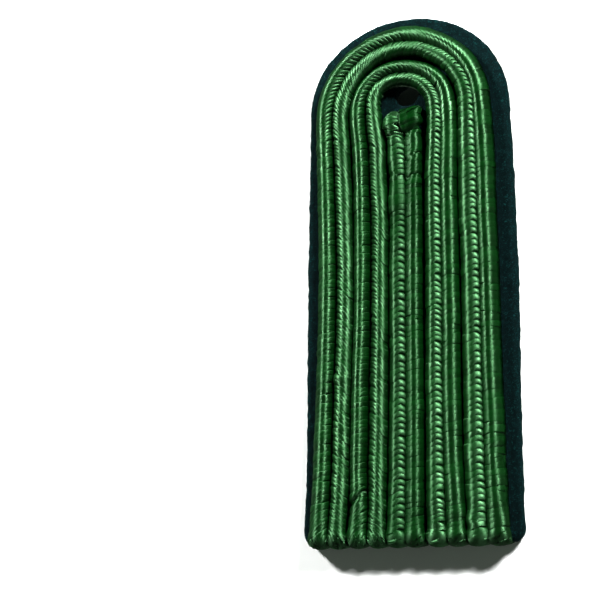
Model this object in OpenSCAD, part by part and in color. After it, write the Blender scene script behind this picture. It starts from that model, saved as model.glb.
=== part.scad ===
// Shoulder board: a felt pad with three flat cords sewn on it side by side.
// Two cords are bent into hairpins, one inside the other, and the third lies between their legs.
// The board lies on its back. X runs across it, +Y towards the round end, +Z out of the braid.
// The origin is the middle of its footprint.

/* [Cord] */
// Width of a flat cord across its two cores
cord_width = 7.9; // [6:0.1:9]
// Height of a cord above the felt
cord_height = 3.1; // [2:0.1:4]
// Space between neighbouring cords
cord_gap = 0.2; // [0.15:0.05:0.5]
// Share of the cord's height that is left in the groove between its cores
groove_floor = 0.58; // [0.3:0.02:0.8]

/* [Felt pad] */
// Length of the board from its square end to the top of its round end
board_length = 120; // [100:1:140]
// Width of felt that shows outside the braid
felt_rim = 2.85; // [1.8:0.05:5]
// Thickness of the pad
felt_thickness = 3; // [2:0.1:4]
// Radius of the pad's soft upper and lower edges
felt_edge = 1; // [0.4:0.1:1]
// Radius of the two corners at the square end, seen from above
felt_corner = 2.5; // [1.4:0.1:5]

/* [Hairpins] */
// Share of its width that the outer cord keeps round the arch
outer_squeeze = 0.93; // [0.85:0.01:1]
// Share of its width that the inner cord keeps where its arch begins
inner_squeeze = 0.8; // [0.74:0.01:0.86]
// Share of its width that the inner cord keeps at the top of its arch
inner_squeeze_top = 0.62; // [0.55:0.01:0.7]
// Length of leg over which a cord narrows before its arch
squeeze_run = 15; // [8:0.5:25]

/* [Buttonhole] */
// Diameter of the hole through the felt
buttonhole_diameter = 5.5; // [4:0.1:6]

/* [Centre strip] */
// Height of the strip's folded tip above the line where the arches begin
tip_rise = 0.4; // [-2:0.1:0.6]
// Length of strip that lies double, with its end folded under
fold_length = 24; // [16:0.5:35]
// How much further the tip's right half reaches than its left half
tip_slant = 1; // [0:0.1:1.5]

/* [Square end] */
// Thickness of the cords where they are turned down over the felt's end
lap_thickness = 1.2; // [0.8:0.1:2]
// Height above the table at which the turned-down cords stop
lap_bottom = 0.6; // [0.3:0.1:1]
// Clearance between the turned-down cords and the felt
lap_clearance = 0.15; // [0.1:0.05:0.3]

/* [Hidden] */

FELT_COLOUR = "#10282c";
BRAID_COLOUR = "#2f7a3c";
ROUND = 96;
ARCH_STEPS = 24;
// How far the buttonhole's cutter stands out of the felt
OVERCUT = 1;

// How far a hairpin's outer edge lies from the middle of the board.
// The cords lie in columns, and the centre strip is column 0.
function outer_edge(column) = (column + 0.5) * cord_width + column * cord_gap;
inner_loop_edge = outer_edge(1);
outer_loop_edge = outer_edge(2);

half_width = outer_loop_edge + felt_rim;
front = -board_length / 2;
arch_y = board_length / 2 - half_width;
felt_front = front + lap_thickness + lap_clearance;
leg_start = felt_front + felt_edge;
leg_length = arch_y - leg_start;

tip_y = arch_y + tip_rise;
pocket_top_y = arch_y + inner_loop_edge - inner_squeeze_top * cord_width;
buttonhole_y = (tip_y + tip_slant / 2 + pocket_top_y) / 2;

// Half of a cord's section, as shares of its width and height: round a core, from its seat to the groove.
// A core is half as wide as the cord.
CORE_ANGLES = [-50, -15, 20, 55, 90, 125, 150];
CORE_RADIUS = [0.25, 0.5];
SEAT_ACROSS = 0.33;
half_section = concat([[SEAT_ACROSS, 0]],
                      [for (a = CORE_ANGLES) [CORE_RADIUS[0] * (1 + cos(a)), CORE_RADIUS[1] * (1 + sin(a))]]);
last = len(half_section) - 1;
section = concat(half_section, [[0, groove_floor]],
                 [for (i = [last:-1:0]) [-half_section[i][0], half_section[i][1]]]);

// How wide the five cords lie along their legs: spread at the square end, with a slight waist.
// Columns: share of the leg from the square end, breadth as a share of the plain breadth.
BREADTH = [[0.01, 1.055], [0.04, 1.04], [0.1, 1.015], [0.2, 1.0], [0.38, 0.985], [0.53, 0.98],
           [0.69, 0.985], [0.82, 0.995], [0.87, 1.0], [0.91, 1.0], [0.95, 1.0], [1, 1.0]];
END_BREADTH = 1.06;

// How the cord is turned down over the square end.
// Columns: degrees turned from upright, thickness as a share of the way from the lap to the full height.
TURN = [[90, 0], [67.5, 0.08], [45, 0.4], [22.5, 0.72], [0, 0.93]];

// The centre strip's folded stretch.
// Columns: share of fold_length from its lower end, width share, height share.
FOLD = [[0, 0.985, 1.0], [0.04, 0.985, 1.09], [0.16, 0.985, 1.12], [0.34, 1.0, 1.1], [0.44, 1.02, 1.0],
        [0.54, 1.03, 1.09], [0.72, 1.06, 1.0], [0.8, 1.1, 1.1], [0.9, 1.12, 1.12], [0.96, 1.08, 0.94],
        [0.99, 1.0, 0.64], [1, 0.9, 0.36]];
// Share of the folded stretch after which its right half runs ahead of its left
SLANT_START = 0.75;

// A station is where a cord's section stands:
// [middle of its underside, direction across, direction up, width, height].
function station(at, across, up, width, height) = [at, across, up, width, height];

// Rises smoothly from 0 to 1 as t does
function ease(t) = let (s = min(1, max(0, t))) s * s * (3 - 2 * s);

// Width share of a leg at y, which narrows to squeeze at the arch
function leg_share(y, squeeze) = 1 - (1 - squeeze) * ease((y - arch_y + squeeze_run) / squeeze_run);

// Stations of a cord turned down over the felt's end, from its cut end up to the leg.
// middle is the cord's place across the board, and side says which way the section's across points.
function turned_end(middle, side) =
    let (width = cord_width * END_BREADTH, x = middle * END_BREADTH,
         centre_z = felt_thickness - felt_edge, reach = felt_edge + lap_clearance)
    concat([station([x, felt_front - lap_clearance, lap_bottom], [side, 0, 0], [0, -1, 0], width, lap_thickness)],
           [for (row = TURN)
               station([x, leg_start - reach * sin(row[0]), centre_z + reach * cos(row[0])], [side, 0, 0],
                       [0, -sin(row[0]), cos(row[0])], width,
                       lap_thickness + (cord_height - lap_thickness) * row[1])]);

// Stations along a hairpin's leg on one side
function leg(edge, squeeze, side) =
    [for (row = BREADTH)
        let (y = leg_start + row[0] * leg_length, width = cord_width * row[1] * leg_share(y, squeeze))
        station([side * (edge * row[1] - width / 2), y, felt_thickness], [side, 0, 0], [0, 0, 1], width, cord_height)];

// Stations round a hairpin's arch, from the left leg over to the right
function arch(edge, squeeze, squeeze_top) =
    [for (i = [1:ARCH_STEPS - 1])
        let (a = 180 - 180 * i / ARCH_STEPS, out = [cos(a), sin(a), 0],
             width = cord_width * (squeeze + (squeeze_top - squeeze) * sin(a)))
        station([0, arch_y, felt_thickness] + (edge - width / 2) * out, out, [0, 0, 1], width, cord_height)];

function reversed(list) = [for (i = [len(list) - 1:-1:0]) list[i]];

function ring(s) = [for (p = section) s[0] + p[0] * s[3] * s[1] + p[1] * s[4] * s[2]];

// Skins a row of stations with quads split into triangles, and closes both ends
module cord(stations) {
    n = len(section);
    m = len(stations);
    points = [for (s = stations) each ring(s)];
    sides = [for (j = [0:m - 2], i = [0:n - 1])
        let (k = (i + 1) % n)
        each [[j * n + i, j * n + k, (j + 1) * n + k], [j * n + i, (j + 1) * n + k, (j + 1) * n + i]]];
    polyhedron(points, concat(sides, [[for (i = [n - 1:-1:0]) i]], [[for (i = [0:n - 1]) (m - 1) * n + i]]));
}

module hairpin(edge, squeeze, squeeze_top) {
    middle = edge - cord_width / 2;
    cord(concat(turned_end(-middle, -1), leg(edge, squeeze, -1), arch(edge, squeeze, squeeze_top),
                reversed(leg(edge, squeeze, 1)), reversed(turned_end(middle, 1))));
}

// Section of the pad's edge out to a reach, standing in the XY plane with its height along Y
module edge_section(reach) {
    square([reach - felt_edge, felt_thickness]);
    translate([0, felt_edge]) square([reach, felt_thickness - 2 * felt_edge]);
    for (h = [felt_edge, felt_thickness - felt_edge])
        translate([reach - felt_edge, h]) circle(r = felt_edge, $fn = ROUND);
}

module round_end() {
    translate([0, arch_y, 0]) rotate_extrude(angle = 180, $fn = ROUND) edge_section(half_width);
}

module straight_sides() {
    run = arch_y - felt_front - felt_corner;
    translate([0, arch_y, 0]) rotate([90, 0, 0]) linear_extrude(run) {
        edge_section(half_width);
        mirror([1, 0]) edge_section(half_width);
    }
}

module square_end() {
    corner_x = half_width - felt_corner;
    corner_y = felt_front + felt_corner;
    for (side = [0, 1]) mirror([side, 0, 0]) translate([corner_x, corner_y, 0])
        rotate([0, 0, -90]) rotate_extrude(angle = 90, $fn = ROUND) edge_section(felt_corner);
    translate([-corner_x, corner_y, 0]) rotate([90, 0, -90]) mirror([0, 0, 1])
        linear_extrude(2 * corner_x) edge_section(felt_corner);
}

// Felt pad with soft edges and the buttonhole, under everything
module felt_pad() {
    color(FELT_COLOUR) difference() {
        union() {
            round_end();
            straight_sides();
            square_end();
        }
        translate([0, buttonhole_y, -OVERCUT])
            cylinder(h = felt_thickness + 2 * OVERCUT, d = buttonhole_diameter, $fn = ROUND);
    }
}

// Outer hairpin: the first and last of the five columns, joined round the top
module outer_braid() {
    color(BRAID_COLOUR) hairpin(outer_loop_edge, outer_squeeze, outer_squeeze);
}

// Inner hairpin: the second and fourth columns, drawn narrow round the buttonhole
module inner_braid() {
    color(BRAID_COLOUR) hairpin(inner_loop_edge, inner_squeeze, inner_squeeze_top);
}

// Centre strip: one cord whose upper end is folded under itself below the buttonhole
module centre_braid() {
    fold_y = tip_y - fold_length;
    plain = [for (row = BREADTH) let (y = leg_start + row[0] * leg_length) if (y < fold_y - cord_height)
        station([0, y, felt_thickness], [1, 0, 0], [0, 0, 1], cord_width * row[1], cord_height)];
    folded = [for (row = FOLD)
        let (slant = tip_slant / cord_width * ease((row[0] - SLANT_START) / (1 - SLANT_START)))
        station([0, fold_y + row[0] * fold_length, felt_thickness], [1, slant, 0], [0, 0, 1],
                cord_width * row[1], cord_height * row[2])];
    color(BRAID_COLOUR) cord(reversed(concat(turned_end(0, 1), plain, folded)));
}

felt_pad();
outer_braid();
inner_braid();
centre_braid();
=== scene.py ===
"""A shoulder board: flat silk cords sewn side by side on a felt pad.
All sizes are in metres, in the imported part's frame."""

import math

import bmesh
import bpy
import numpy as np
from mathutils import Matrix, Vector, noise


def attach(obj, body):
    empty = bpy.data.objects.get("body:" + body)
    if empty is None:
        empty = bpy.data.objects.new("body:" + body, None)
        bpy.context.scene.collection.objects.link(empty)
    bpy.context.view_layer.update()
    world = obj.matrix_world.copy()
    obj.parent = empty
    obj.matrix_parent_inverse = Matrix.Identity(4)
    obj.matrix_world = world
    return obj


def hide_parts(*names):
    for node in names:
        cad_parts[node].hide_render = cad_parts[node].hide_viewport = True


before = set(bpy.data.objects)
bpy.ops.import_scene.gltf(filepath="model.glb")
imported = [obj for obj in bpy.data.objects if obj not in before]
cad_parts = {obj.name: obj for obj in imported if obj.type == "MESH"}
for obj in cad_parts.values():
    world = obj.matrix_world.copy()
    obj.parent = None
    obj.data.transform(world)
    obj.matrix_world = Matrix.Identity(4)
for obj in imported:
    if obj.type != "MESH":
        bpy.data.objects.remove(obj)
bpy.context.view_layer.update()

# ---------------------------------------------------------------------------------------------
# The felt pad. It is cut from thick wool felt, dark blue-green, and pressed rather than woven,
# so its faces are matt and hairy and its cut edges are soft and never quite straight.
# ---------------------------------------------------------------------------------------------
MM = 0.001
# Where the middle of the round end lies
ARCH_Y = 37 * MM
# How fine the felt's mesh is
FELT_VOXEL = 0.42 * MM
# How far the surface wanders, and the size of its lumps
FELT_WANDER = ((0.10 * MM, 7 * MM), (0.12 * MM, 1.9 * MM), (0.10 * MM, 0.9 * MM))
# How much further out its edge was cut than an even curve, in mm: round the top, by degrees from the right
# as seen from the middle of the arch, and along the two straight sides, by the place along the board
TOP_SPREAD = ((0, 0.0), (30, 0.0), (90, 0.35), (110, 0.75), (130, 1.1), (150, 1.3), (162, 0.7), (180, 0.2))
LEFT_SPREAD = ((-60, 0.7), (-52, 0.55), (-45, 0.25), (0, 0.4), (37, 0.2))
RIGHT_SPREAD = ((-60, 0.35), (-52, 0.1), (-30, 0.3), (-5, 0.75), (20, 0.5), (37, 0.0))
# How far the two corners of the square end were left standing past the cords, in mm,
# and where along the board they are full and where they end
CORNER_SPREAD, CORNER_FADE = 1.0, (-59, -53)
# How far from the middle the spread is full, in mm, and how fast it fades inwards
RIM_FROM, RIM_FADE = 21, 6
FELT_SHADE = "#031416"
FELT_BODY = "#051f20"
FELT_HAIR = "#1e5856"
FELT_BLOOM = "#208a90"
# The size of its lumps and its hairs, and how far the hairs stand up
LUMP_SIZE, HAIR_SIZE, HAIR_HEIGHT = 2.5 * MM, 0.45 * MM, 0.12 * MM
# A colour mix node's two colour inputs and its colour output
MIX_A, MIX_B, MIX_OUT = 6, 7, 2


def linear(colour):
    """An sRGB hex colour as linear red, green, blue and alpha."""
    parts = [int(colour[i:i + 2], 16) / 255 for i in (1, 3, 5)]
    return [c / 12.92 if c <= 0.04045 else ((c + 0.055) / 1.055) ** 2.4 for c in parts] + [1.0]


def add_node(tree, kind, inputs=(), **settings):
    """A shader node with its settings made, and its inputs set or linked."""
    made = tree.nodes.new(kind)
    for name, value in settings.items():
        setattr(made, name, value)
    for socket, value in dict(inputs).items():
        if isinstance(value, bpy.types.NodeSocket):
            tree.links.new(value, made.inputs[socket])
        else:
            made.inputs[socket].default_value = value
    return made


def new_material(name):
    """An empty node material, its node tree and its output node."""
    material = bpy.data.materials.new(name)
    material.use_nodes = True
    material.node_tree.nodes.clear()
    return material, material.node_tree, add_node(material.node_tree, "ShaderNodeOutputMaterial")


def new_piece(name, bm, material, smooth=True):
    """A mesh object from a bmesh, which it frees."""
    mesh = bpy.data.meshes.new(name)
    bm.to_mesh(mesh)
    bm.free()
    mesh.materials.append(material)
    mesh.polygons.foreach_set("use_smooth", [smooth] * len(mesh.polygons))
    made = bpy.data.objects.new(name, mesh)
    bpy.context.scene.collection.objects.link(made)
    return made


def felt_material():
    """Pressed wool felt: a matt, nearly black blue-green with short paler hairs lying every way."""
    material, tree, output = new_material("pressed_wool_felt")
    place = add_node(tree, "ShaderNodeTexCoord").outputs["Object"]
    lumps = add_node(tree, "ShaderNodeTexNoise", {"Vector": place, "Scale": 1 / LUMP_SIZE, "Detail": 3})
    hairs = add_node(tree, "ShaderNodeTexNoise",
                     {"Vector": place, "Scale": 1 / HAIR_SIZE, "Detail": 4, "Roughness": 0.65, "Distortion": 1.6})
    body = add_node(tree, "ShaderNodeMix", {"Factor": lumps.outputs["Fac"], MIX_A: linear(FELT_SHADE),
                                            MIX_B: linear(FELT_BODY)}, data_type="RGBA")
    share = add_node(tree, "ShaderNodeMapRange",
                     {"Value": hairs.outputs["Fac"], "From Min": 0.54, "From Max": 0.78})
    colour = add_node(tree, "ShaderNodeMix", {"Factor": share.outputs[0], MIX_A: body.outputs[MIX_OUT],
                                              MIX_B: linear(FELT_HAIR)}, data_type="RGBA")
    bump = add_node(tree, "ShaderNodeBump",
                    {"Height": hairs.outputs["Fac"], "Strength": 0.9, "Distance": HAIR_HEIGHT})
    shader = add_node(tree, "ShaderNodeBsdfPrincipled",
                      {"Base Color": colour.outputs[MIX_OUT], "Roughness": 0.95, "Specular IOR Level": 0.12,
                       "Sheen Weight": 0.05, "Sheen Roughness": 0.5, "Sheen Tint": linear(FELT_BLOOM),
                       "Normal": bump.outputs["Normal"]})
    tree.links.new(shader.outputs[0], output.inputs["Surface"])
    return material


def remeshed(source, voxel):
    """A copy of a mesh, merged and built again from even small faces."""
    bm = bmesh.new()
    bm.from_mesh(source)
    bmesh.ops.remove_doubles(bm, verts=bm.verts, dist=MM / 1000)
    rough = new_piece("rough", bm, None)
    modifier = rough.modifiers.new("even", "REMESH")
    modifier.mode = "VOXEL"
    modifier.voxel_size = voxel
    even = rough.evaluated_get(bpy.context.evaluated_depsgraph_get())
    bm = bmesh.new()
    bm.from_mesh(even.to_mesh())
    even.to_mesh_clear()
    bpy.data.objects.remove(rough)
    return bm


bm = remeshed(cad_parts["felt_pad"].data, FELT_VOXEL)
bmesh.ops.smooth_vert(bm, verts=bm.verts, factor=0.5, use_axis_x=True, use_axis_y=True, use_axis_z=True)
bm.normal_update()
for v in bm.verts:
    push = sum(depth * noise.noise(v.co / size) for depth, size in FELT_WANDER)
    x, y = v.co.x / MM, v.co.y / MM
    beyond = max(y - ARCH_Y / MM, 0)
    rim = min(1, math.hypot(x, beyond) / RIM_FROM) ** RIM_FADE * MM
    if beyond:
        out = rim * np.interp(math.degrees(math.atan2(beyond, x)), *np.transpose(TOP_SPREAD))
        v.co += float(out) * Vector((x, beyond, 0)).normalized()
    else:
        v.co.x += math.copysign(rim, x) * np.interp(y, *np.transpose(RIGHT_SPREAD if x > 0 else LEFT_SPREAD))
        v.co.y -= rim * CORNER_SPREAD * np.interp(y, CORNER_FADE, (1, 0))
    v.co += v.normal * push
    v.co.z = max(v.co.z, 0)
felt = new_piece("wool_felt_pad", bm, felt_material())
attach(felt, "root")
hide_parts("felt_pad")

# ---------------------------------------------------------------------------------------------
# The flat cords. Each is a braid of rayon silk strands round two soft cotton cores: every strand runs over
# one core, dives in the groove and passes under the other, so the two halves meet in arrowheads. Two cords are
# bent into hairpins and the third is a strip. All are sewn to the felt and turned down over its square end.
# ---------------------------------------------------------------------------------------------
CORD_HEIGHT = 3.1 * MM
# The felt's upper face and its soft edge, and the board's square end
FELT_TOP, FELT_EDGE, FRONT = 3 * MM, 1 * MM, -60 * MM
# A turned-down end's thickness, its clearance from the felt, and how low it reaches
LAP, LAP_CLEARANCE, LAP_BOTTOM = 1.2 * MM, 0.15 * MM, 0.6 * MM
END_Y = FRONT + LAP + LAP_CLEARANCE + FELT_EDGE
# How a cord thickens as it turns up over the felt's end. Columns: degrees from lying flat,
# share of the way from the lap's thickness to the cord's height
TURN_UP = ((90, 0.1), (67.5, 0.35), (45, 0.65), (22.5, 0.85), (0, 0.85))
# Share of its height that a leg has at its lower end
END_HEIGHT = 0.86

# Where the crests of the ten half-cords lie along the legs, as the hand laid them. All in mm:
# along the board, then across it from left to right. The middle two are the centre strip.
CRESTS = (
    (-57, -19.6, -15.6, -11.3, -6.9, -2.9, 1.1, 5.8, 9.8, 13.9, 18.4),
    (-52, -19.3, -15.1, -10.9, -6.5, -2.7, 1.3, 5.6, 9.8, 14.1, 18.1),
    (-44, -18.9, -14.6, -11.1, -6.4, -2.4, 1.4, 5.6, 9.4, 13.9, 17.8),
    (-35, -18.7, -14.5, -10.9, -6.1, -2.3, 1.5, 5.7, 9.3, 14.0, 17.8),
    (-25, -18.4, -14.2, -10.8, -6.0, -2.1, 1.6, 5.7, 9.3, 14.1, 17.6),
    (-15, -18.2, -13.8, -10.4, -5.8, -2.1, 1.6, 5.9, 9.5, 14.1, 17.6),
    (0, -18.1, -13.6, -10.2, -5.7, -2.1, 1.7, 6.1, 9.5, 14.2, 17.6),
    (10, -18.3, -13.9, -10.3, -5.5, -1.9, 1.9, 6.1, 9.5, 13.9, 17.4),
    (20, -18.6, -14.2, -10.4, -6.0, -1.9, 1.9, 6.2, 9.5, 14.0, 17.5),
    (28, -18.9, -14.6, -10.7, -6.1, -2.3, 2.1, 6.6, 9.8, 14.0, 17.3),
    (34, -19.1, -15.0, -11.3, -6.9, -2.4, 2.2, 6.8, 9.8, 14.1, 17.0),
    (37, -19.1, -15.1, -11.4, -7.1, -2.4, 2.2, 6.7, 9.6, 14.1, 16.8),
)
# The same round the arch: degrees from the right, then the outer and the inner crest's radius in mm
OUTER_ARCH = ((175, 19.1, 15.1), (155, 19.0, 14.9), (135, 18.8, 15.0), (115, 18.5, 15.0), (90, 18.3, 14.6),
              (75, 17.7, 14.3), (60, 17.2, 13.9), (45, 16.9, 13.8), (25, 16.7, 13.8), (5, 16.7, 14.0))
INNER_ARCH = ((175, 11.4, 7.2), (155, 11.4, 7.9), (135, 11.3, 8.1), (115, 11.0, 7.7), (90, 10.2, 7.0),
              (75, 9.9, 6.8), (60, 9.7, 6.6), (45, 9.7, 6.4), (25, 9.6, 6.4), (5, 9.6, 6.6))


def turned_end(outer, inner):
    """Stations of a cord turned down over the square end, from its cut end up to where it lies flat.
    A station is its seat under the groove, its way across, its way up, its crests' distance and its height."""
    middle, spread = (outer + inner) / 2, abs(outer - inner)
    across = np.array([math.copysign(1, outer - inner), 0, 0])
    reach = FELT_EDGE + LAP_CLEARANCE
    rows = [(np.array([middle, END_Y - reach, LAP_BOTTOM]), across, np.array([0, -1.0, 0]), spread, LAP)]
    for degrees, share in TURN_UP:
        turn = math.radians(degrees)
        up = np.array([0, -math.sin(turn), math.cos(turn)])
        seat = np.array([middle, END_Y, FELT_TOP - FELT_EDGE]) + reach * up
        rows.append((seat, across, up, spread, LAP + (CORD_HEIGHT - LAP) * share))
    return rows


def leg(outer, inner):
    """Stations along a leg whose two crests are in these columns of CRESTS, from its cut end up to the arch."""
    rows = turned_end(CRESTS[0][outer] * MM, CRESTS[0][inner] * MM)
    for row in CRESTS:
        a, b, y = row[outer] * MM, row[inner] * MM, row[0] * MM
        height = CORD_HEIGHT * (END_HEIGHT if row is CRESTS[0] else 1)
        rows.append((np.array([(a + b) / 2, y, FELT_TOP]), np.array([math.copysign(1, a - b), 0, 0]),
                     np.array([0, 0, 1.0]), abs(a - b), height))
    return rows


# Degrees from one station of an arch to the next
ARCH_STEP = 6.0


def arch(table):
    """Stations round an arch, from the left leg over to the right one."""
    turns, outer, inner = np.array(table, float).T
    rows = []
    for degrees in np.arange(180 - ARCH_STEP, 0, -ARCH_STEP):
        a, b = np.interp(-degrees, -turns, outer) * MM, np.interp(-degrees, -turns, inner) * MM
        across = np.array([math.cos(math.radians(degrees)), math.sin(math.radians(degrees)), 0])
        rows.append((np.array([0, ARCH_Y, FELT_TOP]) + across * (a + b) / 2, across, np.array([0, 0, 1.0]),
                     a - b, CORD_HEIGHT))
    return rows


# A run's even steps, over how much of it each is eased, and how far in from its ends the easing fades in
STEP, EASE, ENDS_KEPT = 0.25 * MM, 4 * MM, 8 * MM


def route(stations):
    """A cord's run, sampled at even steps and eased: rows of along, seat, across, up, spread and height."""
    rows = np.array([np.hstack(station) for station in stations])
    along = np.concatenate([[0], np.cumsum(np.linalg.norm(np.diff(rows[:, :3], axis=0), axis=1))])
    at = np.arange(0, along[-1], STEP)
    even = np.column_stack([np.interp(at, along, column) for column in rows.T])
    half = int(EASE / STEP / 2)
    weights = np.hanning(2 * half + 3)[1:-1]
    weights /= weights.sum()
    padded = np.pad(even, ((half, half), (0, 0)), mode="reflect", reflect_type="odd")
    eased = np.column_stack([np.convolve(column, weights, "valid") for column in padded.T])
    # the turn over the felt's end is tight, so it keeps more of its own line
    keep = np.clip(1 - np.minimum(at, at[-1] - at) / ENDS_KEPT, 0, 1)[:, None]
    return np.column_stack([at, even * keep + eased * (1 - keep)])


def hairpin(left_outer, left_inner, right_inner, right_outer, table):
    """A hairpin's run, from its cut end at the lower left, round the arch, to the cut end at the lower right."""
    return route(leg(left_outer, left_inner) + arch(table) + leg(right_outer, right_inner)[::-1])


# The strip's folded tip: where its leg ends, where it folds, and how far it is propped up on its own end
TIP_FROM, TIP_X, TIP_Y, TIP_LIFT = 33 * MM, -0.8 * MM, 34.3 * MM, 0.4 * MM
# How far out it folds, its crests' distance, and how far it runs ahead on its right for each step across it
TIP_REACH, TIP_SPREAD, TIP_SLANT = 0.5 * MM, 4.3 * MM, 0.17
# The fold. Columns: degrees folded under, height of the cord in mm
TIP_FOLD = ((0, 3.0), (20, 2.9), (45, 2.5), (70, 2.2), (95, 2.0), (120, 1.9))


def strip():
    """The strip's run, from its folded tip down to its cut end, so that its halves lie as a right leg's do."""
    rows = [station for station in leg(6, 5) if station[0][1] < TIP_FROM]
    for degrees, height in TIP_FOLD:
        turn = math.radians(degrees)
        up = np.array([0, math.sin(turn), math.cos(turn)])
        seat = np.array([TIP_X, TIP_Y, FELT_TOP + TIP_LIFT]) + TIP_REACH * up
        rows.append((seat, np.array([1.0, TIP_SLANT, 0]), up, TIP_SPREAD, height * MM))
    return route(rows[::-1])


# How far a strand reaches past the middle of the groove
PAST_GROOVE = 0.15 * MM
# Where a core's outer side begins to slope out to the felt, and over how much it does,
# in degrees from the crest
SKIRT_FROM, SKIRT_OVER = 50, 80
# Where its inner side leaves the core for the groove, how much sooner it does so the shallower the groove is,
# and over how much, in the same degrees
DIVE_FROM, DIVE_SOONER, DIVE_OVER = 60, 45, 45
# A cord's face never lies lower than this above its seat, and its strands are never squashed to less than this
LOWEST, LEAST_SQUASH = 0.02 * MM, 0.5
# Where a strand bends on its way from under the core's side to the bottom of the groove, in the same degrees
STRAND_BENDS = (-125, -78, -45, -20, 0, 12, 24, 38, 56, 88)
# Where a strand begins to swell beside the groove, and over how much it does, in the same degrees
BEAD_FROM, BEAD_OVER = 6, 20
# Half a strand's width, as a share of the distance to the next strand: where it lies flat, and beside
# the groove, where it narrows; and how much of that narrowing a strand without a bead shows
FLAT_OVERLAP, BEAD_OVERLAP, PLAIN_NARROWS = 0.84, 0.6, 0.3
# The swelling in mm from which a strand is a full bead
FULL_BEAD = 0.15
# How far a bead's lower edge stands over the next one
SHINGLE = 0.08 * MM
# How far a bead's two ends run ahead of its middle, how many degrees from the crest that middle lies,
# and how far before and past it the bow reaches, as shares of those degrees
BEAD_BOW, BOW_AT, BOW_ENDS = 0.45 * MM, 32, (-1, 1.3)


def rising(share):
    """From 0 to 1 with soft ends."""
    share = np.clip(share, 0, 1)
    return share * share * (3 - 2 * share)


def on_half_cord(cord, half, along, angle, lift, full=1):
    """Points on a half-cord's face, lifted off it: half is 1 for the outer half and -1 for the inner one.
    A cord is its run, the lay tables of its two halves and its creases."""
    run, lays, creases = cord
    lay, length = lays[half], run[-1, 0]
    at = np.clip(along, 0, length)
    wide, skirt, rest = (np.interp(at / length, lay[:, 0], lay[:, k]) for k in (1, 2, 3))
    here = np.stack([np.interp(at, run[:, 0], column) for column in run.T[1:]], -1)
    seat, side, rise, spread, height = here[..., :3], here[..., 3:6], here[..., 6:9], here[..., 9], here[..., 10]
    squash = np.maximum(height / CORD_HEIGHT, LEAST_SQUASH)
    turn = np.radians(angle)
    for creased, place, slant, depth, width in creases:
        if creased == half:
            away = at / MM - place % (length / MM) - slant * np.sin(turn)
            lift = lift - depth * MM * np.exp(-(away / width) ** 2)
    dive = rising((angle - DIVE_FROM + DIVE_SOONER * rest) / DIVE_OVER)
    out = skirt * MM * np.clip((-angle - SKIRT_FROM) / SKIRT_OVER, 0, 1)
    out -= wide * full * MM * np.sin(turn) * (1 - dive) + (spread / 2 + PAST_GROOVE) * dive + np.sin(turn) * lift
    up = height * (0.5 + 0.5 * np.cos(turn) + (rest - 0.5) * dive) + np.cos(turn) * lift * squash
    side = side / np.linalg.norm(side, axis=-1, keepdims=True)
    rise = rise / np.linalg.norm(rise, axis=-1, keepdims=True)
    return seat + side * (half * (spread / 2 + out))[..., None] + rise * np.maximum(up, LOWEST)[..., None]


STRAND_SIDES = 6
# A strand's section is flat below and rounded above. Columns: height on the blank's six-sided section,
# then the share of the half width and the share of the thickness that it gets.
STRAND_SECTION = ((-0.5, 0.0, -0.5), (-0.25, 1.0, -0.3), (0.25, 0.58, 0.3), (0.5, 0.0, 0.5))
# How much the strands differ where the unevenness is 1: step to the next strand, turn in degrees, slope,
# lift off the core, place along the groove, and how full the core is under each and over WANDER_STRETCH mm
STEP_VARIES, TURN_VARIES, SLOPE_VARIES = 0.18, 4, 0.08
LIFT_VARIES, GROOVE_VARIES = 0.025 * MM, 0.2 * MM
FULL_VARIES, FULL_WANDERS, WANDER_STRETCH = 0.012, 0.045, 9
# How much looseness and shine differ from strand to strand
LOOSE_VARIES, SHINE_VARIES = 0.15, (0.85, 1.12)
# Sets each strand's yarns apart from its neighbours'
YARN_SHIFT = 37


def strand_blank():
    """One strand's mesh before it is laid: a closed bar of unit length with a six-sided section."""
    bm = bmesh.new()
    bmesh.ops.create_cone(bm, cap_ends=True, segments=STRAND_SIDES, radius1=0.5, radius2=0.5, depth=1)
    lengthwise = [e for e in bm.edges if abs(e.verts[0].co.z - e.verts[1].co.z) > 0.5]
    bmesh.ops.subdivide_edges(bm, edges=lengthwise, cuts=len(STRAND_BENDS) - 2, use_grid_fill=True)
    uv = bm.loops.layers.uv.new("UVMap")
    for face in bm.faces:
        for loop in face.loops:
            loop[uv].uv = (loop.vert.co.x, loop.vert.co.z + 0.5)
    mesh = bpy.data.meshes.new("strand_blank")
    bm.to_mesh(mesh)
    bm.free()
    return mesh


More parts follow.
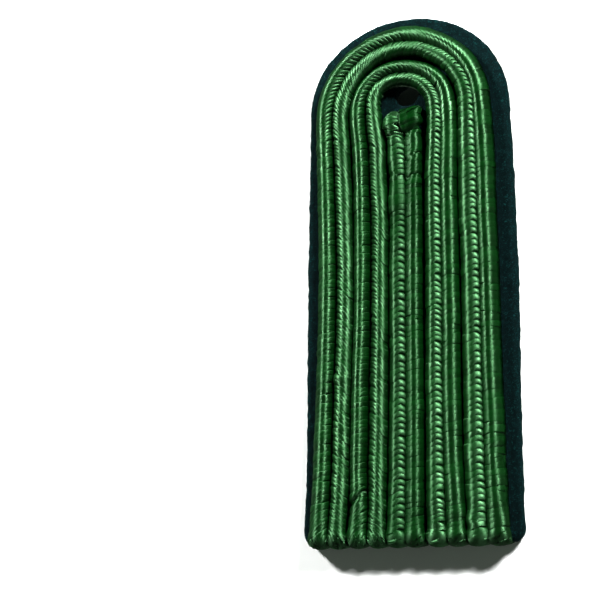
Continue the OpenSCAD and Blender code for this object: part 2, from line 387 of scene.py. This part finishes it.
def laid_strands(name, cord, shine, material, seed):
    """A braid's strands as one piece, laid over both halves of the cord one after the other.
    shine has a table for each half: how bright its silk is along the cord."""
    chance = np.random.default_rng(seed)
    bright = {half: np.transpose(table) for half, table in shine.items()}
    length = cord[0][-1, 0]
    blank = strand_blank()
    shape = np.array([v.co for v in blank.vertices])
    heights, breadths, thicknesses = np.transpose(STRAND_SECTION)
    crosswise = np.sign(np.round(shape[:, 0], 3)) * np.interp(shape[:, 1], heights, breadths)
    above = np.interp(shape[:, 1], heights, thicknesses)
    bends = np.interp((shape[:, 2] + 0.5) * (len(STRAND_BENDS) - 1), range(len(STRAND_BENDS)), STRAND_BENDS)
    points, tones, loose, shines, swellings = [], [], [], [], []
    for half, lay in cord[1].items():
        wander = np.cumsum(chance.normal(size=int(length / MM) + 2))
        wander -= np.convolve(wander, np.ones(WANDER_STRETCH) / WANDER_STRETCH, "same")
        at = 0
        while at < length:
            pitch, lean, uneven, bead, thick = (np.interp(at / length, lay[:, 0], c) for c in lay.T[4:])
            step = pitch * MM * (1 + STEP_VARIES * uneven * chance.uniform(-1, 1))
            angle = bends + TURN_VARIES * uneven * chance.normal()
            turn = np.radians(angle)
            slope = lean + SLOPE_VARIES * uneven * chance.normal()
            swell = rising((angle - BEAD_FROM) / BEAD_OVER)
            beaded = min(1, bead / FULL_BEAD)
            lift = above * (thick + 2 * bead * swell) * MM + LIFT_VARIES * uneven * chance.uniform(-1, 1)
            lift += SHINGLE * crosswise * swell * beaded
            narrowing = swell * (PLAIN_NARROWS + (1 - PLAIN_NARROWS) * beaded)
            overlap = FLAT_OVERLAP + (BEAD_OVERLAP - FLAT_OVERLAP) * narrowing
            # a strand slopes by as much as if the half were as wide everywhere as at its end
            s = at + step / 2 + slope * lay[0, 1] * MM * np.sin(turn) + crosswise * step * overlap
            s += BEAD_BOW * beaded * np.clip((angle - BOW_AT) / BOW_AT, *BOW_ENDS) ** 2
            s += GROOVE_VARIES * uneven * chance.normal() * np.clip(np.sin(turn), 0, 1) ** 2
            full = 1 + uneven * (FULL_VARIES * chance.normal() + FULL_WANDERS * wander[int(at / MM)])
            points.append(on_half_cord(cord, half, s, angle, lift, full))
            swellings.append(swell * beaded)
            tones.append(chance.uniform())
            loose.append(np.clip((half < 0) + LOOSE_VARIES * chance.normal(), 0, 1))
            shines.append(np.interp(at / length, *bright[half]) * chance.uniform(*SHINE_VARIES))
            at += step
    bm = bmesh.new()
    for _ in points:
        bm.from_mesh(blank)
    piece = new_piece(name, bm, material)
    piece.data.vertices.foreach_set("co", np.array(points, np.float32).ravel())
    uv = np.zeros(len(blank.loops) * 2)
    blank.uv_layers[0].data.foreach_get("uv", uv)
    uv = np.tile(uv.reshape(1, -1, 2), (len(points), 1, 1))
    uv[..., 0] += YARN_SHIFT * np.array(tones)[:, None]
    piece.data.uv_layers[0].data.foreach_set("uv", uv.astype(np.float32).ravel())
    # the first three have one value for a strand, and the last one for each of its points
    for kind, values in (("tone", tones), ("looseness", loose), ("shine", shines), ("swelling", swellings)):
        values = np.broadcast_to(np.reshape(values, (len(points), -1)), (len(points), len(shape)))
        attribute = piece.data.attributes.new(kind, "FLOAT", "POINT")
        attribute.data.foreach_set("value", values.astype(np.float32).ravel())
    bpy.data.meshes.remove(blank)
    bm = bmesh.new()
    bm.from_mesh(piece.data)
    bmesh.ops.recalc_face_normals(bm, faces=bm.faces)
    bm.to_mesh(piece.data)
    bm.free()
    piece.data.update()
    return piece


CORE_SIDES = 16
# How far under the strands a core's face lies, and how many steps of the run lie between its rings
CORE_INSET, RING_STEPS = 0.16 * MM, 3


def cord_cores(name, cord, material):
    """The two soft cores that the strands are woven round, as one piece that fills the gaps between them."""
    bm = bmesh.new()
    for half in cord[1]:
        made = bmesh.ops.create_circle(bm, segments=CORE_SIDES, radius=1)["verts"]
        angles = np.array([math.degrees(math.atan2(v.co.x, v.co.y)) for v in made])
        ring, first = made, made
        for k, row in enumerate(cord[0][::RING_STEPS]):
            if k:
                edges = {e for v in ring for e in v.link_edges if e.other_vert(v) in ring}
                grown = bmesh.ops.extrude_edge_only(bm, edges=list(edges))["geom"]
                fresh = {g for g in grown if isinstance(g, bmesh.types.BMVert)}
                ring = [next(e.other_vert(v) for e in v.link_edges if e.other_vert(v) in fresh) for v in ring]
            places = on_half_cord(cord, half, np.full(CORE_SIDES, row[0]), angles, -CORE_INSET)
            for v, place in zip(ring, places):
                v.co = place
        bmesh.ops.contextual_create(bm, geom=first)
        bmesh.ops.contextual_create(bm, geom=ring)
    bmesh.ops.recalc_face_normals(bm, faces=bm.faces)
    return new_piece(name, bm, material)


SILK_BODY = "#05340e"
SILK_DEEP = "#032508"
SILK_SHINE = "#bfffc8"
# A strand is about eight fine filament yarns wide. How often they waver along it, and how far they stand out
YARNS_IN_STRAND, WAVERS, YARN_HEIGHT = 8, 1.6, 0.04 * MM
# How uneven the silk's face is
KINK_SIZE, KINK_DEPTH = 0.55 * MM, 0.06 * MM
# The size of the patches where it is worn, and how much of its shine is left there
WORN_PATCH, WORN_SHINE = 2.2 * MM, 0.7
# From the tight outer half to the loose inner one, how rough it is, and how much that differs between strands
ROUGHNESS, ROUGHNESS_VARIES = (0.49, 0.56), 0.05
# From where a strand lies flat to where it swells: how much light it catches, and how drawn out its glint is
CAUGHT, DRAWN_OUT = (0.86, 1.22), (0.88, 0.4)


def silk_material():
    """Bright rayon silk: each strand is a flat bundle of smooth yarns, which shine in one line across the bundle.
    The line is thin where the strands lie flat, and breaks into round glints where they swell."""
    material, tree, output = new_material("filament_silk_green")
    uv = add_node(tree, "ShaderNodeUVMap", uv_map="UVMap").outputs["UV"]
    tone = add_node(tree, "ShaderNodeAttribute", attribute_name="tone").outputs["Fac"]
    place = add_node(tree, "ShaderNodeTexCoord").outputs["Object"]
    patches = add_node(tree, "ShaderNodeTexNoise", {"Vector": place, "Scale": 1 / WORN_PATCH, "Detail": 2})
    loose = add_node(tree, "ShaderNodeAttribute", attribute_name="looseness").outputs["Fac"]
    kept = add_node(tree, "ShaderNodeAttribute", attribute_name="shine").outputs["Fac"]
    worn = add_node(tree, "ShaderNodeMapRange",
                    {"Value": patches.outputs["Fac"], "From Min": 0.3, "From Max": 0.65, "To Min": WORN_SHINE})
    gloss = add_node(tree, "ShaderNodeMath", {0: kept, 1: worn.outputs[0]}, operation="MULTIPLY")
    swelling = add_node(tree, "ShaderNodeAttribute", attribute_name="swelling").outputs["Fac"]
    caught = add_node(tree, "ShaderNodeMapRange", {"Value": swelling, "To Min": CAUGHT[0], "To Max": CAUGHT[1]})
    gloss = add_node(tree, "ShaderNodeMath", {0: gloss.outputs[0], 1: caught.outputs[0]}, operation="MULTIPLY")
    matt = add_node(tree, "ShaderNodeMapRange",
                    {"Value": tone, "To Min": -ROUGHNESS_VARIES, "To Max": ROUGHNESS_VARIES})
    rough = add_node(tree, "ShaderNodeMapRange",
                     {"Value": loose, "To Min": ROUGHNESS[0], "To Max": ROUGHNESS[1]})
    rough = add_node(tree, "ShaderNodeMath", {0: rough.outputs[0], 1: matt.outputs[0]}, operation="ADD")
    stretched = add_node(tree, "ShaderNodeMapping", {"Vector": uv, "Scale": (YARNS_IN_STRAND, WAVERS, 1)})
    yarns = add_node(tree, "ShaderNodeTexNoise",
                     {"Vector": stretched.outputs[0], "Scale": 1.0, "Detail": 3, "Roughness": 0.6})
    dyed = add_node(tree, "ShaderNodeMath", {0: yarns.outputs["Fac"], 1: tone}, operation="MULTIPLY")
    share = add_node(tree, "ShaderNodeMapRange", {"Value": dyed.outputs[0], "From Min": 0.05, "From Max": 0.5})
    colour = add_node(tree, "ShaderNodeMix", {"Factor": share.outputs[0], MIX_A: linear(SILK_DEEP),
                                              MIX_B: linear(SILK_BODY)}, data_type="RGBA")
    kinks = add_node(tree, "ShaderNodeTexNoise",
                     {"Vector": place, "Scale": 1 / KINK_SIZE, "Detail": 2, "Roughness": 0.6})
    bump = add_node(tree, "ShaderNodeBump",
                    {"Height": yarns.outputs["Fac"], "Strength": 0.6, "Distance": YARN_HEIGHT})
    bump = add_node(tree, "ShaderNodeBump",
                    {"Height": kinks.outputs["Fac"], "Strength": 0.5, "Distance": KINK_DEPTH,
                     "Normal": bump.outputs["Normal"]})
    streak = add_node(tree, "ShaderNodeMapRange",
                      {"Value": swelling, "To Min": DRAWN_OUT[0], "To Max": DRAWN_OUT[1]})
    tangent = add_node(tree, "ShaderNodeTangent", direction_type="UV_MAP", uv_map="UVMap")
    shader = add_node(tree, "ShaderNodeBsdfPrincipled",
                      {"Base Color": colour.outputs[MIX_OUT], "Roughness": rough.outputs[0], "IOR": 1.6,
                       "Specular IOR Level": gloss.outputs[0], "Specular Tint": linear(SILK_SHINE),
                       "Anisotropic": streak.outputs[0],
                       "Normal": bump.outputs["Normal"], "Tangent": tangent.outputs[0]})
    tree.links.new(shader.outputs[0], output.inputs["Surface"])
    return material


COTTON = "#0a3514"
FLUFF_SIZE, FLUFF_HEIGHT = 0.4 * MM, 0.1 * MM


def core_material():
    """Soft spun cotton core, dyed dark green: matt, and only seen in the gaps between the strands."""
    material, tree, output = new_material("spun_cotton_core")
    place = add_node(tree, "ShaderNodeTexCoord").outputs["Object"]
    fluff = add_node(tree, "ShaderNodeTexNoise", {"Vector": place, "Scale": 1 / FLUFF_SIZE, "Detail": 2})
    bump = add_node(tree, "ShaderNodeBump",
                    {"Height": fluff.outputs["Fac"], "Strength": 0.5, "Distance": FLUFF_HEIGHT})
    shader = add_node(tree, "ShaderNodeBsdfPrincipled",
                      {"Base Color": linear(COTTON), "Roughness": 0.9, "Specular IOR Level": 0.1,
                       "Normal": bump.outputs["Normal"]})
    tree.links.new(shader.outputs[0], output.inputs["Surface"])
    return material


silk, cotton = silk_material(), core_material()

# How each half of a cord is laid. Columns: share of the cord's length; half width of the core and how far
# its outer side slopes out, in mm; how high the groove lies, as a share of the height; strand pitch in mm;
# lean towards the groove; unevenness; swelling beside the groove and thickness, both in mm.
OUTER_OUT = (
    (0.00, 2.00, 0.6, 0.36, 0.60, 0.60, 0.8, 0.00, 0.12),
    (0.02, 1.80, 0.8, 0.36, 0.90, 0.60, 0.8, 0.02, 0.14),
    (0.05, 1.65, 0.9, 0.24, 0.95, 0.20, 0.9, 0.02, 0.10),
    (0.35, 1.60, 0.9, 0.24, 0.95, 0.20, 0.9, 0.02, 0.10),
    (0.40, 1.65, 0.5, 0.40, 0.95, 0.60, 0.6, 0.10, 0.15),
    (0.50, 1.75, 0.8, 0.40, 1.00, 0.60, 0.7, 0.10, 0.16),
    (0.56, 1.70, 1.2, 0.50, 1.10, 0.40, 0.7, 0.00, 0.16),
    (0.64, 1.65, 1.2, 0.54, 1.10, 0.15, 0.8, 0.00, 0.12),
    (0.95, 1.70, 1.2, 0.54, 1.10, 0.15, 0.8, 0.00, 0.12),
    (0.98, 2.00, 0.6, 0.55, 0.90, 0.15, 0.8, 0.00, 0.14),
    (1.00, 2.30, 0.4, 0.45, 0.60, 0.15, 0.8, 0.00, 0.12),
)
OUTER_IN = (
    (0.00, 2.00, 0.0, 0.36, 0.60, 0.60, 0.9, 0.02, 0.12),
    (0.05, 1.65, 0.5, 0.36, 0.95, 0.60, 1.1, 0.05, 0.18),
    (0.35, 1.60, 0.5, 0.36, 0.95, 0.70, 1.2, 0.07, 0.18),
    (0.44, 1.95, 0.0, 0.40, 0.95, 0.80, 1.0, 0.08, 0.20),
    (0.51, 1.75, 0.0, 0.40, 1.00, 0.70, 1.0, 0.08, 0.18),
    (0.56, 1.80, 0.0, 0.50, 1.20, 0.20, 0.9, 0.15, 0.18),
    (0.64, 1.85, 0.7, 0.62, 1.36, -0.15, 0.8, 0.20, 0.16),
    (0.95, 1.85, 0.7, 0.62, 1.36, -0.15, 0.8, 0.20, 0.16),
    (0.98, 1.80, 0.0, 0.55, 0.90, -0.15, 0.8, 0.05, 0.14),
    (1.00, 2.10, 0.0, 0.45, 0.60, -0.15, 0.8, 0.00, 0.12),
)
INNER_OUT = (
    (0.00, 2.00, 0.0, 0.36, 0.60, 0.60, 0.8, 0.00, 0.12),
    (0.03, 1.80, 0.0, 0.36, 0.90, 0.60, 0.8, 0.02, 0.14),
    (0.07, 1.50, 0.5, 0.22, 0.95, 0.20, 0.9, 0.02, 0.10),
    (0.40, 1.45, 0.5, 0.22, 0.95, 0.20, 0.9, 0.02, 0.10),
    (0.50, 1.50, 0.0, 0.40, 0.95, 0.60, 0.7, 0.10, 0.16),
    (0.58, 1.80, 0.7, 0.52, 1.10, 0.20, 0.7, 0.00, 0.12),
    (0.94, 1.85, 0.7, 0.52, 1.10, 0.15, 0.8, 0.00, 0.12),
    (1.00, 2.10, 0.0, 0.45, 0.60, 0.15, 0.8, 0.00, 0.12),
)
INNER_IN = (
    (0.00, 2.00, 0.0, 0.36, 0.60, 0.60, 0.9, 0.02, 0.12),
    (0.06, 1.55, 0.5, 0.36, 0.95, 0.60, 1.1, 0.05, 0.18),
    (0.40, 1.45, 0.5, 0.36, 0.95, 0.70, 1.2, 0.07, 0.18),
    (0.50, 1.50, 0.0, 0.40, 0.95, 0.60, 1.0, 0.06, 0.18),
    (0.58, 1.50, 0.7, 0.60, 1.20, 0.00, 0.9, 0.15, 0.18),
    (0.94, 1.50, 0.7, 0.60, 1.30, -0.15, 0.9, 0.20, 0.16),
    (1.00, 2.10, 0.0, 0.45, 0.60, -0.15, 0.8, 0.00, 0.12),
)
STRIP_OUT = (
    (0.00, 2.60, 0.0, 0.80, 0.80, 0.15, 0.2, 0.00, 0.08),
    (0.04, 2.60, 0.0, 0.80, 0.80, 0.15, 0.3, 0.00, 0.08),
    (0.06, 1.60, 0.4, 0.58, 1.10, 0.15, 0.9, 0.00, 0.16),
    (0.93, 1.60, 0.8, 0.58, 1.10, 0.15, 0.9, 0.00, 0.14),
    (1.00, 2.10, 0.0, 0.45, 0.60, 0.15, 0.8, 0.00, 0.12),
)
STRIP_IN = (
    (0.00, 1.90, 0.0, 0.62, 0.90, 0.30, 1.8, 0.10, 0.20),
    (0.04, 1.90, 0.0, 0.62, 1.00, 0.30, 2.4, 0.20, 0.30),
    (0.07, 1.75, 0.0, 0.58, 1.36, -0.15, 1.2, 0.20, 0.18),
    (0.17, 1.75, 0.0, 0.58, 1.20, -0.15, 0.8, 0.04, 0.12),
    (0.23, 1.75, 0.0, 0.58, 1.20, -0.15, 0.8, 0.04, 0.12),
    (0.26, 1.60, 0.3, 0.58, 1.36, -0.15, 1.0, 0.22, 0.16),
    (0.93, 1.60, 0.5, 0.58, 1.36, -0.15, 1.0, 0.22, 0.16),
    (1.00, 2.10, 0.0, 0.45, 0.60, -0.15, 0.8, 0.00, 0.12),
)

# Creases and bulges in the cords. Columns: half, 1 the outer and -1 the inner; place along the cord in mm,
# from its far end if it is below 0; how much further along it lies beside the groove; depth and width in mm.
# A bulge has a depth below 0. LIPS are the bulges where every cord's ends turn down.
LIPS = [(half, place, 0.0, -0.3, 0.7) for half in (1, -1) for place in (2.7, -2.7)]
OUTER_CREASES = [(-1, 36.5, 0.0, -0.4, 0.8), (-1, -4.6, 1.2, -0.4, 0.9)]
INNER_CREASES = [(1, 10.7, 1.5, 0.9, 0.45)]
STRIP_CREASES = [(1, 4.7, 0.7, 1.1, 0.5), (-1, 5.0, -0.6, 0.6, 0.4), (1, 15.6, 0.6, 0.7, 0.4),
                 (-1, 14.9, 0.4, 0.3, 0.4), (-1, 20.0, 0.0, -0.3, 3.0), (1, 10.6, 0.9, 0.35, 0.4)]

# How well each half's silk has kept its shine. Columns: share of the cord's length, strength of the shine.
OUTER_SHINE = {1: ((0, 0.8), (0.35, 0.85), (0.44, 0.7), (0.50, 0.8), (0.53, 1.4), (0.57, 0.9),
                   (0.62, 0.62), (1, 0.7)),
               -1: ((0, 1.2), (0.20, 1.4), (0.36, 1.25), (0.42, 1.5), (0.48, 1.1), (0.55, 1.0),
                    (0.62, 1.1), (0.75, 1.15), (1, 1.2))}
INNER_SHINE = {1: ((0, 0.85), (0.40, 0.7), (0.50, 0.8), (0.56, 1.0), (0.62, 0.65), (0.72, 0.65), (1, 0.75)),
               -1: ((0, 1.2), (0.40, 1.3), (0.46, 1.6), (0.50, 1.1), (0.60, 0.95), (0.75, 1.0), (1, 1.15))}
STRIP_SHINE = {1: ((0, 0.3), (0.04, 0.3), (0.06, 0.6), (0.18, 0.35), (0.25, 0.35), (0.35, 0.6), (1, 0.6)),
               -1: ((0, 1.1), (0.05, 1.0), (0.16, 0.6), (0.26, 0.5), (0.34, 0.8), (0.55, 0.9), (1, 0.8))}

for name, run, outer, inner, creases, shine, seed in (
    ("outer_braid", hairpin(1, 2, 9, 10, OUTER_ARCH), OUTER_OUT, OUTER_IN, OUTER_CREASES, OUTER_SHINE, 11),
    ("inner_braid", hairpin(3, 4, 7, 8, INNER_ARCH), INNER_OUT, INNER_IN, INNER_CREASES, INNER_SHINE, 12),
    ("centre_braid", strip(), STRIP_OUT, STRIP_IN, STRIP_CREASES, STRIP_SHINE, 13),
):
    cord = (run, {1: np.array(outer), -1: np.array(inner)}, LIPS + creases)
    strands = laid_strands("silk_" + name, cord, shine, silk, seed)
    cores = cord_cores("cores_of_" + name, cord, cotton)
    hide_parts(name)
    for piece in (strands, cores):
        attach(piece, "root")

# ---------------------------------------------------------------------------------------------
# The table, the three lamps and the camera. Two lamps stand behind the board, on its left and its right,
# and draw the two bright lines on every core. A weak, wide one is low in front, and the camera is above.
# ---------------------------------------------------------------------------------------------
PAPER = "#e1e1e1"
TABLE_SIDE = 3.0
# How far it lies under the board, so that their faces don't fall together
TABLE_DROP = 0.05 * MM
GRAIN_SIZE, GRAIN_HEIGHT = 0.3 * MM, 0.02 * MM
# How far the lamps hang from the board, then each one's way from it, its width and its power
LAMP_DISTANCE = 0.9
LAMPS = (((-1.2, 0.95, 0.9), 0.13, 18.8), ((0.92, 0.95, 0.9), 0.2, 24), ((0.2, -1, 0.5), 0.6, 1.2))
# How bright the room is at table height and overhead, and its colour
AMBIENT, OVERHEAD = 0.52, 0.03
ROOM_COLOUR = "#e7ffe7"
# The photo is printed hard: below 1, this darkens everything but white
CONTRAST = 0.714

bm = bmesh.new()
bmesh.ops.create_grid(bm, x_segments=2, y_segments=2, size=TABLE_SIDE / 2)
bmesh.ops.translate(bm, verts=bm.verts, vec=(0, 0, -TABLE_DROP))
# Uncoated white paper: an even, bright ground without a shine
paper, tree, output = new_material("matt_white_paper")
place = add_node(tree, "ShaderNodeTexCoord").outputs["Object"]
grain = add_node(tree, "ShaderNodeTexNoise", {"Vector": place, "Scale": 1 / GRAIN_SIZE})
bump = add_node(tree, "ShaderNodeBump",
                {"Height": grain.outputs["Fac"], "Strength": 0.1, "Distance": GRAIN_HEIGHT})
shader = add_node(tree, "ShaderNodeBsdfPrincipled",
                  {"Base Color": linear(PAPER), "Roughness": 0.9, "Specular IOR Level": 0.1,
                   "Normal": bump.outputs["Normal"]})
tree.links.new(shader.outputs[0], output.inputs["Surface"])
floor = new_piece("paper_table", bm, paper, smooth=False)
# a table this bright would glare along the silk's sides
floor.visible_glossy = False


def hang_lamp(name, way, distance, size, power):
    """A round lamp hung in the given way from the board, and facing it."""
    lamp = bpy.data.lights.new(name, "AREA")
    lamp.shape, lamp.size, lamp.energy = "DISK", size, power
    holder = bpy.data.objects.new(name, lamp)
    holder.location = Vector(way).normalized() * distance
    holder.rotation_euler = Vector(way).to_track_quat("Z", "Y").to_euler()
    bpy.context.scene.collection.objects.link(holder)


for number, (way, width, power) in enumerate(LAMPS):
    hang_lamp(f"lamp_{number}", way, LAMP_DISTANCE, width, power)

world = bpy.data.worlds.new("studio")
world.use_nodes = True
tree = world.node_tree
ways = add_node(tree, "ShaderNodeTexCoord").outputs["Generated"]
upwards = add_node(tree, "ShaderNodeSeparateXYZ", {"Vector": ways}).outputs["Z"]
glow = add_node(tree, "ShaderNodeMapRange", {"Value": upwards, "From Min": 0.1, "From Max": 0.8,
                                             "To Min": AMBIENT, "To Max": OVERHEAD})
tree.links.new(glow.outputs[0], tree.nodes["Background"].inputs["Strength"])
tree.nodes["Background"].inputs["Color"].default_value = linear(ROOM_COLOUR)
bpy.context.scene.world = world
bpy.context.scene.view_settings.view_transform = "Standard"
bpy.context.scene.view_settings.gamma = CONTRAST

# Where the photo's camera stood, as its view of the board's edges shows, its turn in degrees and its lens in mm
CAMERA_PLACE = (71.25 * MM, -87.72 * MM, 263.52 * MM)
CAMERA_TURN = (16.81, 20.05, 0.83)
CAMERA_LENS, CAMERA_SENSOR = 78, 36
camera = bpy.data.objects.new("camera", bpy.data.cameras.new("camera"))
camera.location = CAMERA_PLACE
camera.rotation_euler = [math.radians(a) for a in CAMERA_TURN]
camera.data.lens, camera.data.sensor_width = CAMERA_LENS, CAMERA_SENSOR
camera.data.clip_start, camera.data.clip_end = 0.01, 10
bpy.context.scene.collection.objects.link(camera)
bpy.context.scene.camera = camera
